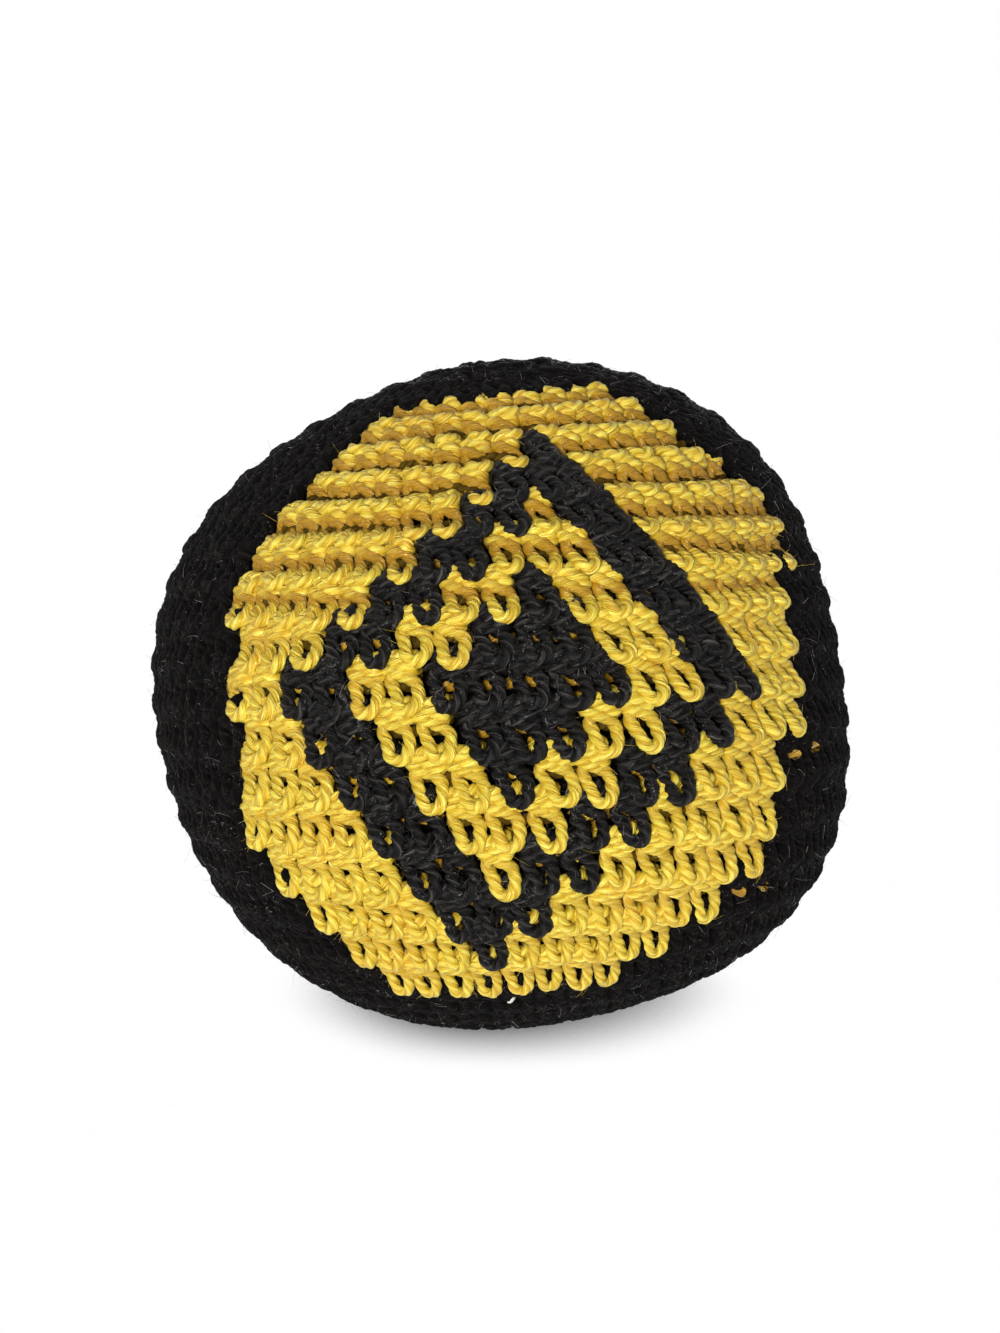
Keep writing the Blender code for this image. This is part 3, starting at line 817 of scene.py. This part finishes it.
class Graph:
    """Adds shader nodes to a tree and gives back the socket that carries each one's result."""

    def __init__(self, tree):
        self.tree = tree

    def feed(self, socket, value):
        """Links a socket into another one, or sets a plain value there."""
        if isinstance(value, bpy.types.NodeSocket):
            self.tree.links.new(value, socket)
        else:
            socket.default_value = value

    def node(self, kind, inputs=(), **settings):
        """A node with its own settings, and sockets or values for its inputs."""
        made = self.tree.nodes.new("ShaderNode" + kind)
        for label, value in settings.items():
            setattr(made, label, value)
        for label, value in dict(inputs).items():
            self.feed(made.inputs[label], value)
        return made

    def math(self, operation, first, second):
        return self.node("Math", {0: first, 1: second}, operation=operation).outputs[0]

    def ranged(self, value, low, high, to_low=0.0, to_high=1.0, smooth=False):
        """Brings a value from one range to another."""
        ends = {"From Min": low, "From Max": high, "To Min": to_low, "To Max": to_high}
        kind = "SMOOTHSTEP" if smooth else "LINEAR"
        made = self.node("MapRange", {"Value": value, **ends}, interpolation_type=kind)
        return made.outputs["Result"]

    def mixed(self, factor, first, second):
        """A colour between two."""
        made = self.node("Mix", {"Factor": factor, 6: first, 7: second}, data_type="RGBA")
        return made.outputs[2]

    def between(self, factor, first, second):
        """A number between two."""
        return self.node("Mix", {"Factor": factor, 2: first, 3: second}).outputs[0]

    def noise(self, at, scale, **inputs):
        return self.node("TexNoise", {"Vector": at, "Scale": scale, **inputs}).outputs["Fac"]

    def bump(self, height, strength, distance, invert=False):
        inputs = {"Height": height, "Strength": strength, "Distance": distance}
        return self.node("Bump", inputs, invert=invert).outputs["Normal"]

    def place_on_object(self):
        return self.node("TexCoord").outputs["Object"]

    def marks(self, label):
        """Marks that a mesh keeps on its points."""
        return self.node("Attribute", attribute_name=label).outputs["Vector"]

    def seen_directly(self):
        """1 for what the camera sees, itself or by way of a mirror or glass."""
        path = self.node("LightPath").outputs
        seen = self.math("MAXIMUM", path["Is Camera Ray"], path["Is Glossy Ray"])
        return self.math("MAXIMUM", seen, path["Is Transmission Ray"])


def material(name, colour, build):
    """The material of that name, made by build(graph, shader's inputs) the first time."""
    made = bpy.data.materials.get(name)
    if made is None:
        made = bpy.data.materials.new(name)
        made.use_nodes = True
        build(Graph(made.node_tree), made.node_tree.nodes["Principled BSDF"].inputs)
        made.diffuse_color = solid(colour)
    return made


def yarn_group():
    """Twisted yarn: painted ridge highlight, body and painted groove shade colours, fine fibres
    along the plies, and lint.
    """
    name = "Twisted yarn"
    if name in bpy.data.node_groups:
        return bpy.data.node_groups[name]
    tree = bpy.data.node_groups.new(name, "ShaderNodeTree")
    for way, kind, labels in (
        ("INPUT", "Color", ("Ridge", "Body", "Warm", "Groove", "Lint colour")),
        ("INPUT", "Float", ("Fibre contrast", "Sparseness", "Lint amount", "Roughness")),
        ("OUTPUT", "Color", ("Color",)),
        ("OUTPUT", "Float", ("Roughness", "Height")),
    ):
        for label in labels:
            tree.interface.new_socket(label, in_out=way, socket_type="NodeSocket" + kind)
    graph = Graph(tree)
    given = tree.nodes.new("NodeGroupInput").outputs
    put = tree.nodes.new("NodeGroupOutput").inputs
    at = graph.place_on_object()
    lie = graph.node("SeparateXYZ", {0: graph.marks("lie")}).outputs
    groove_mark, out_mark, seed_mark = lie["X"], lie["Y"], lie["Z"]

    # Fibres run a long way along the yarn and are fine across it
    shift = graph.node("CombineXYZ", {"Z": graph.math("MULTIPLY", seed_mark, 37.0)}).outputs[0]
    stretched = graph.node(
        "VectorMath", {0: graph.marks("strand"), 1: (2.1, 2.1, 0.42), 2: shift},
        operation="MULTIPLY_ADD",
    ).outputs[0]
    fibre = graph.noise(stretched, 1.0, Detail=3.0, Roughness=0.62)
    sharp = graph.ranged(fibre, 0.32, 0.68)

    # Painted highlight on the ply crests where a fibre lies on them, over a body with warmer
    # patches
    crest = graph.ranged(groove_mark, 0.9, 0.0, smooth=True)
    lit = graph.math("POWER", graph.math("MULTIPLY", sharp, crest), given["Sparseness"])
    bright = graph.math("MULTIPLY", lit, given["Fibre contrast"])
    patchy = graph.ranged(graph.noise(at, 210.0, Detail=2.0), 0.42, 0.68)
    warmed = graph.mixed(patchy, given["Body"], given["Warm"])
    highlighted = graph.mixed(bright, warmed, given["Ridge"])

    # Painted shade deep in the grooves between plies and down in the cloth where the out mark is
    # low, and the darker fibres
    groove_shade = graph.ranged(groove_mark, 0.35, 1.0, smooth=True)
    broken_groove_shade = graph.math("MULTIPLY", groove_shade, graph.ranged(sharp, 0.0, 1.0, 1.0, 0.3))
    sunk = graph.ranged(out_mark, 0.20, -0.10)
    streak = graph.ranged(fibre, 0.46, 0.30, 0.0, 0.8)
    dark = graph.math("MAXIMUM", graph.math("MAXIMUM", broken_groove_shade, sunk), streak)
    with_painted_shade = graph.mixed(dark, highlighted, given["Groove"])

    # Lint: short pale flecks lying at all angles, in patches
    fleck = graph.ranged(graph.noise(at, 3600.0, Detail=1.0, Distortion=1.6), 0.66, 0.74)
    patch = graph.ranged(graph.noise(at, 420.0, Detail=4.0), 0.42, 0.62)
    amount = graph.math("MULTIPLY", graph.math("MULTIPLY", fleck, patch), given["Lint amount"])
    graph.feed(put["Color"], graph.mixed(amount, with_painted_shade, given["Lint colour"]))

    # Bright fibres are the smoother ones
    smoother = graph.ranged(sharp, 0.0, 1.0, 0.12, -0.08)
    graph.feed(put["Roughness"], graph.math("ADD", smoother, given["Roughness"]))
    graph.feed(put["Height"], sharp)
    return tree


WHITE = (1.0, 1.0, 1.0)
DUSTY = (0.8, 0.78, 0.75)
FIBRE_HEIGHT = 0.00014


def yarn_finish(
    name, colours, ridge_highlight, body, groove_shade, roughness, gloss, lint, warm=None, contrast=1.0,
    sparseness=1.0, shine=WHITE, sheen=0.0, tint=DUSTY, bump=1.0,
):
    """A yarn material from the shared group."""

    def build(graph, shader):
        values = {
            "Ridge": solid(ridge_highlight), "Body": solid(body), "Warm": solid(warm or body),
            "Groove": solid(groove_shade), "Lint colour": solid(colours.lint), "Lint amount": lint,
            "Fibre contrast": contrast, "Sparseness": sparseness, "Roughness": roughness,
        }
        yarn = graph.tree.nodes.new("ShaderNodeGroup")
        yarn.node_tree = yarn_group()
        for label, value in values.items():
            yarn.inputs[label].default_value = value
        graph.feed(shader["Base Color"], yarn.outputs["Color"])
        graph.feed(shader["Roughness"], yarn.outputs["Roughness"])
        graph.feed(shader["Normal"], graph.bump(yarn.outputs["Height"], bump, FIBRE_HEIGHT))
        shader["Specular IOR Level"].default_value = gloss
        shader["Specular Tint"].default_value = solid(shine)
        shader["Sheen Weight"].default_value = sheen
        shader["Sheen Roughness"].default_value = 0.4
        shader["Sheen Tint"].default_value = solid(tint)

    return material(name, body, build)


def yellow_finish(colours):
    """Mercerised cotton with a silky gloss."""
    return yarn_finish(
        "yellow_cotton", colours, colours.yellow_ridge_highlight, colours.yellow, colours.yellow_groove_shade,
        roughness=0.30, gloss=1.0, lint=0.0, warm=colours.yellow_warm, shine=(1.0, 0.90, 0.50),
        sheen=0.10, tint=(1.0, 0.90, 0.45),
    )


def black_finish(colours):
    """The cover's black yarn, matt, with few fibres that catch the light as a painted highlight on
    its ridges.
    """
    return yarn_finish(
        "black_cotton", colours, colours.black_ridge_highlight, colours.black, colours.black_groove_shade,
        roughness=0.82, gloss=0.06, lint=0.25, sparseness=2.0, sheen=0.004, bump=0.8,
    )


def linty_finish(colours):
    """Black yarn of the panel, handled more and so dustier, with brighter painted highlights on its
    ply crests.
    """
    return yarn_finish(
        "linty_black_cotton", colours, colours.panel_ridge_highlight, colours.black, colours.black_groove_shade,
        roughness=0.46, gloss=0.15, lint=0.45, sparseness=2.2,
    )


def shaded_finish(colours):
    """Black yarn seen down in the holes, painted warm brown for their shade and the yellow light
    thrown in, and dusty.
    """
    return yarn_finish(
        "shaded_cotton", colours, colours.shaded_ridge_highlight, colours.shaded, colours.black_groove_shade,
        roughness=0.85, gloss=0.04, lint=0.15, contrast=0.7, bump=0.7,
    )


def back_finish(colours):
    """The back of the cloth, where the light hardly reaches, kept in painted groove shade all
    round, behind the yellow panel as well.
    """
    return yarn_finish(
        "back_cotton", colours, colours.black_ridge_highlight, colours.black, colours.black_groove_shade,
        roughness=0.90, gloss=0.04, lint=0.10, contrast=0.7, bump=0.7,
    )


def pellet_finish(colours):
    """Moulded plastic, a little uneven in gloss and faintly mottled."""

    def build(graph, shader):
        at = graph.place_on_object()
        mottle, fine = graph.noise(at, 900.0, Detail=3.0), graph.noise(at, 5200.0, Detail=2.0)
        duller = solid(0.8 * c for c in colours.pellet)
        graph.feed(shader["Base Color"], graph.mixed(mottle, solid(colours.pellet), duller))
        graph.feed(shader["Roughness"], graph.ranged(mottle, 0.0, 1.0, 0.30, 0.55))
        graph.feed(shader["Normal"], graph.bump(fine, 0.25, 0.00002))

    return material("moulded_pellet", colours.pellet, build)


def bed_finish(colours):
    """The bed of pellets: round grains packed side by side, with painted shade down between them.
    """

    def build(graph, shader):
        at = graph.place_on_object()
        grain = graph.node("TexVoronoi", {"Vector": at, "Scale": 240.0, "Randomness": 0.7})
        reach = grain.outputs["Distance"]
        # Painted shade down between the grains
        between = solid(0.15 * c for c in colours.pellet)
        colour = graph.mixed(graph.ranged(reach, 0.15, 0.75), solid(colours.pellet), between)
        graph.feed(shader["Base Color"], colour)
        graph.feed(shader["Normal"], graph.bump(reach, 0.9, 0.0012, invert=True))
        shader["Roughness"].default_value = 0.42

    return material("pellet_grains", colours.pellet, build)


def fibre_finish(name, pale, dark):
    """Loose fibres: each one somewhere between two colours, most of them near the dark one."""

    def build(graph, shader):
        seed = graph.node("SeparateXYZ", {0: graph.marks("lie")}).outputs["Z"]
        paleness = graph.math("POWER", seed, 3.0)
        graph.feed(shader["Base Color"], graph.mixed(paleness, solid(dark), solid(pale)))
        shader["Roughness"].default_value = 0.6
        shader["Specular IOR Level"].default_value = 0.3

    return material(name, dark, build)


def black_fibres(colours):
    return fibre_finish("black_fibres", colours.black_fibre_pale, colours.black_fibre)


def yellow_fibres(colours):
    return fibre_finish("yellow_fibres", colours.yellow_fibre_pale, colours.yellow_fibre)


def floor_finish(stage):
    """A lit white table: plain white where it is seen, darker where the bag keeps the light off."""

    def build(graph, shader):
        seen = graph.seen_directly()
        way = {"Y": -math.sin(stage.shadow_lean), "Z": math.cos(stage.shadow_lean)}
        lean = graph.node("CombineXYZ", way).outputs[0]
        # Painted shadow: where it is seen directly, the floor glows white less where the bag hides
        # a sky leant towards the front
        sky = graph.node("AmbientOcclusion", {"Distance": 0.15, "Normal": lean}, samples=32)
        pale = graph.ranged(sky.outputs["AO"], 0.0, stage.shadow_reach, smooth=True)
        graph.feed(shader["Base Color"], graph.mixed(seen, (0.80, 0.80, 0.80, 1), (0, 0, 0, 1)))
        graph.feed(shader["Emission Strength"], graph.between(seen, stage.floor_glow, pale))
        shader["Emission Color"].default_value = solid(WHITE)
        shader["Roughness"].default_value = 0.9
        shader["Specular IOR Level"].default_value = 0.0

    return material("pale_floor", (0.80, 0.80, 0.80), build)


# Operators


def settings(context):
    scene = context.scene
    return scene.footbag_shape, scene.footbag_yarn, scene.footbag_colours, scene.footbag_stage


def work_piece(bag, yarn, number, names, rounds, colour, look, node):
    """Works one colour's stitches in some rounds as a piece, and their loose fibres as another."""
    name, fibres = names
    finish, slot, fibre_look, fibre_sizes = look
    rows = worked_stitches()
    rows = rows[(rows[:, 3] == colour) & (rows[:, 0] >= rounds[0]) & (rows[:, 0] <= rounds[1])]
    tubes = stitch_tubes(bag, yarn, rows, number)
    place(name, tube_mesh(name, tubes), finish, slot, node)
    hairs = hair_mesh(fibres, tubes[0], np.random.default_rng(yarn.seed + number), fibre_sizes)
    place(fibres, hairs, fibre_look, slot)


class FOOTBAG_OT_cover(bpy.types.Operator):
    """Works the black rounds of the cover, from the start underneath to the close on top."""

    bl_idname = "footbag.cover"
    bl_label = "Cover stitches"

    def execute(self, context):
        shape, yarn, colours, _ = settings(context)
        bag = Bag(shape)
        look = (black_finish(colours), "black_yarn", black_fibres(colours), COVER_FIBRES)
        for number, rounds in enumerate(COVER_GROUPS, start=1):
            names = (f"cover_{number:02d}", f"cover_fibres_{number:02d}")
            work_piece(bag, yarn, number, names, rounds, COVER, look, "cover_black")
        return {"FINISHED"}


class FOOTBAG_OT_panel(bpy.types.Operator):
    """Works the panel's yellow stitches and the black diamonds in it."""

    bl_idname = "footbag.panel"
    bl_label = "Panel stitches"

    def execute(self, context):
        shape, yarn, colours, _ = settings(context)
        bag = Bag(shape)
        yellow = (yellow_finish(colours), "yellow_yarn", yellow_fibres(colours), YELLOW_FIBRES)
        black = (linty_finish(colours), "black_yarn", black_fibres(colours), BLACK_FIBRES)
        for number, (name, colour, rounds, node) in enumerate(PANEL_PIECES, start=50):
            look = yellow if colour in YELLOWS else black
            names = (name, name + "_fibres")
            work_piece(bag, yarn, number, names, rounds, colour, look, node)
        return {"FINISHED"}


class FOOTBAG_OT_carried(bpy.types.Operator):
    """Lays the yarn that each panel round carries inside its stitches of the other colour."""

    bl_idname = "footbag.carried"
    bl_label = "Carried yarn"

    def execute(self, context):
        shape, yarn, colours, _ = settings(context)
        bag = Bag(shape)
        for name, is_yellow, finish, slot in (
            ("carried_black", False, shaded_finish(colours), "black_yarn"),
            ("carried_yellow", True, yellow_finish(colours), "yellow_yarn"),
        ):
            place(name, tube_mesh(name, carried_tubes(bag, yarn, is_yellow)), finish, slot)
        return {"FINISHED"}


class FOOTBAG_OT_backing(bpy.types.Operator):
    """Lays the dark back of the stitches, where the yarn of each round passes behind."""

    bl_idname = "footbag.backing"
    bl_label = "Back of the cloth"

    def execute(self, context):
        shape, _, colours, _ = settings(context)
        up, across = 160, 240
        lowest = -START_ROUNDS - START_EYE_SHARE + 0.3
        highest = PANEL_ROUNDS + CLOSE_ROUNDS + 0.2
        rounds, turn = np.meshgrid(
            np.linspace(lowest, highest, up),
            np.arange(across) * 2 * math.pi / across,
            indexing="ij",
        )
        ripple = 0.00012 * np.cos(2 * math.pi * rounds) * np.cos(CHART_STITCHES * turn)
        points = Bag(shape).points(rounds, turn, shape.cloth_thickness + ripple)
        mesh = bpy.data.meshes.new("cloth_back")
        mesh.from_pydata(points.reshape(-1, 3).tolist(), [], closed_quads(up, across).tolist())
        # Marks that put the whole back fully in the finish's painted groove shade
        add_marks(
            mesh,
            strand=np.tile((1.0, 0.0, 0.0), across * up),
            lie=np.tile((0.6, -0.2, 0.5), across * up),
        )
        mesh.shade_smooth()
        obj = place("cloth_back", mesh, back_finish(colours), "black_yarn")
        return {"FINISHED"}


class FOOTBAG_OT_ends(bpy.types.Operator):
    """Winds the yarn ring at the start and the close, and lays the knot and yarn end inside."""

    bl_idname = "footbag.ends"
    bl_label = "Rings and yarn end"

    def execute(self, context):
        shape, yarn, colours, _ = settings(context)
        bag = Bag(shape)
        rng = np.random.default_rng(yarn.seed + 90)
        tubes = {
            "start_ring": ring_tube(bag, yarn, "start_ring", -math.pi / 2, rng),
            "closing_ring": ring_tube(bag, yarn, "closing_ring", math.pi / 2, rng),
            "closing_knot": knot_tube(yarn, "closing_knot", rng),
            "closing_tail": tail_tube(bag, yarn, rng),
        }
        for node, tube in tubes.items():
            name = node + "_yarn"
            place(name, tube_mesh(name, [tube]), black_finish(colours), "black_yarn", node)
        return {"FINISHED"}


class FOOTBAG_OT_pellets(bpy.types.Operator):
    """Finishes the filling, and seats the two small pellets that show between stitches."""

    bl_idname = "footbag.pellets"
    bl_label = "Pellets"

    def execute(self, context):
        shape, yarn, colours, _ = settings(context)
        bag = Bag(shape)
        for name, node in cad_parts.items():
            if name.startswith("pellet_"):
                finish = bed_finish(colours) if name == "pellet_bed" else pellet_finish(colours)
                node.data.materials.clear()
                node.data.materials.append(finish)
        for number, (rounds, stitch) in enumerate(SHOWING_PELLETS, start=1):
            name = f"pellet_showing_{number}"
            rng = np.random.default_rng(yarn.seed + number)
            mesh = granule_mesh(name, bag, rounds, stitch, rng)
            place(name, mesh, pellet_finish(colours), "pellet_plastic")
        return {"FINISHED"}


# Each lamp's turn from the front and its rise in degrees, and how soft it is
LAMPS = (
    ("key_sun", -11.0, 6.0, 18.0, "key_strength"),
    ("fill_sun", -25.0, 55.0, 60.0, "fill_strength"),
    ("back_sun", 176.0, 2.0, 12.0, "back_strength"),
)
CAMERA_SHIFT = (-0.00075, 0.0161)
FLOOR_REACH = 8.0


class FOOTBAG_OT_stage(bpy.types.Operator):
    """Sets the floor, the soft lights and the camera at the photograph's angle."""

    bl_idname = "footbag.stage"
    bl_label = "Stage"

    def execute(self, context):
        shape, _, _, stage = settings(context)
        scene = context.scene
        scene.view_settings.view_transform = "Standard"
        camera = bpy.data.objects.new("camera", bpy.data.cameras.new("camera"))
        scene.collection.objects.link(camera)
        back = Vector((0, -math.cos(stage.camera_rise), math.sin(stage.camera_rise)))
        camera.location = Vector(Bag(shape).middle) + back * stage.camera_distance
        camera.rotation_euler = (math.pi / 2 - stage.camera_rise, 0, 0)
        camera.data.lens = stage.lens
        camera.data.sensor_width = 36.0
        camera.data.shift_x, camera.data.shift_y = CAMERA_SHIFT
        camera.data.clip_start, camera.data.clip_end = 0.01, 20.0
        scene.camera = camera

        mesh = bpy.data.meshes.new("floor")
        r = FLOOR_REACH
        mesh.from_pydata([(-r, -r, 0), (r, -r, 0), (r, r, 0), (-r, r, 0)], [], [(0, 1, 2, 3)])
        floor = bpy.data.objects.new("floor", mesh)
        scene.collection.objects.link(floor)
        mesh.materials.append(floor_finish(stage))

        for name, turn, rise, softness, strength in LAMPS:
            light = bpy.data.lights.new(name, "SUN")
            light.angle, light.energy = math.radians(softness), getattr(stage, strength)
            lamp = bpy.data.objects.new(name, light)
            away = Vector(Bag.world_ways(math.radians(rise), math.radians(turn)))
            lamp.location = away
            lamp.rotation_mode = "QUATERNION"
            lamp.rotation_quaternion = (-away).to_track_quat("-Z", "Y")
            scene.collection.objects.link(lamp)

        world = bpy.data.worlds.new("studio")
        scene.world = world
        world.use_nodes = True
        graph = Graph(world.node_tree)
        sky = world.node_tree.nodes["Background"].inputs
        sky["Color"].default_value = solid(WHITE)
        strength = graph.between(graph.seen_directly(), stage.sky_strength, 1.0)
        graph.feed(sky["Strength"], strength)
        return {"FINISHED"}


class FOOTBAG_PT_panel(bpy.types.Panel):
    """Lists the steps that make the footbag."""

    bl_idname = "FOOTBAG_PT_panel"
    bl_label = "Crocheted Footbag"
    bl_space_type = "VIEW_3D"
    bl_region_type = "UI"
    bl_category = "Footbag"

    def draw(self, context):
        for group in settings(context):
            box = self.layout.box()
            box.label(text=group.bl_rna.name)
            for label in group.bl_rna.properties.keys():
                if label not in ("rna_type", "name"):
                    box.prop(group, label)
        for step in STEPS:
            self.layout.operator(step.bl_idname)


STEPS = (
    FOOTBAG_OT_cover,
    FOOTBAG_OT_panel,
    FOOTBAG_OT_carried,
    FOOTBAG_OT_backing,
    FOOTBAG_OT_ends,
    FOOTBAG_OT_pellets,
    FOOTBAG_OT_stage,
)
GROUPS = (
    ("footbag_shape", FootbagShape),
    ("footbag_yarn", FootbagYarn),
    ("footbag_colours", FootbagColours),
    ("footbag_stage", FootbagStage),
)


def register():
    for name, group in GROUPS:
        bpy.utils.register_class(group)
        setattr(bpy.types.Scene, name, PointerProperty(type=group))
    for step in STEPS:
        bpy.utils.register_class(step)
    bpy.utils.register_class(FOOTBAG_PT_panel)


def unregister():
    bpy.utils.unregister_class(FOOTBAG_PT_panel)
    for step in reversed(STEPS):
        bpy.utils.unregister_class(step)
    for name, group in reversed(GROUPS):
        delattr(bpy.types.Scene, name)
        bpy.utils.unregister_class(group)


def main():
    """Makes every piece in order."""
    register()
    bpy.ops.footbag.cover()
    bpy.ops.footbag.panel()
    bpy.ops.footbag.carried()
    bpy.ops.footbag.backing()
    bpy.ops.footbag.ends()
    bpy.ops.footbag.pellets()
    bpy.ops.footbag.stage()


if __name__ == "__main__":
    main()
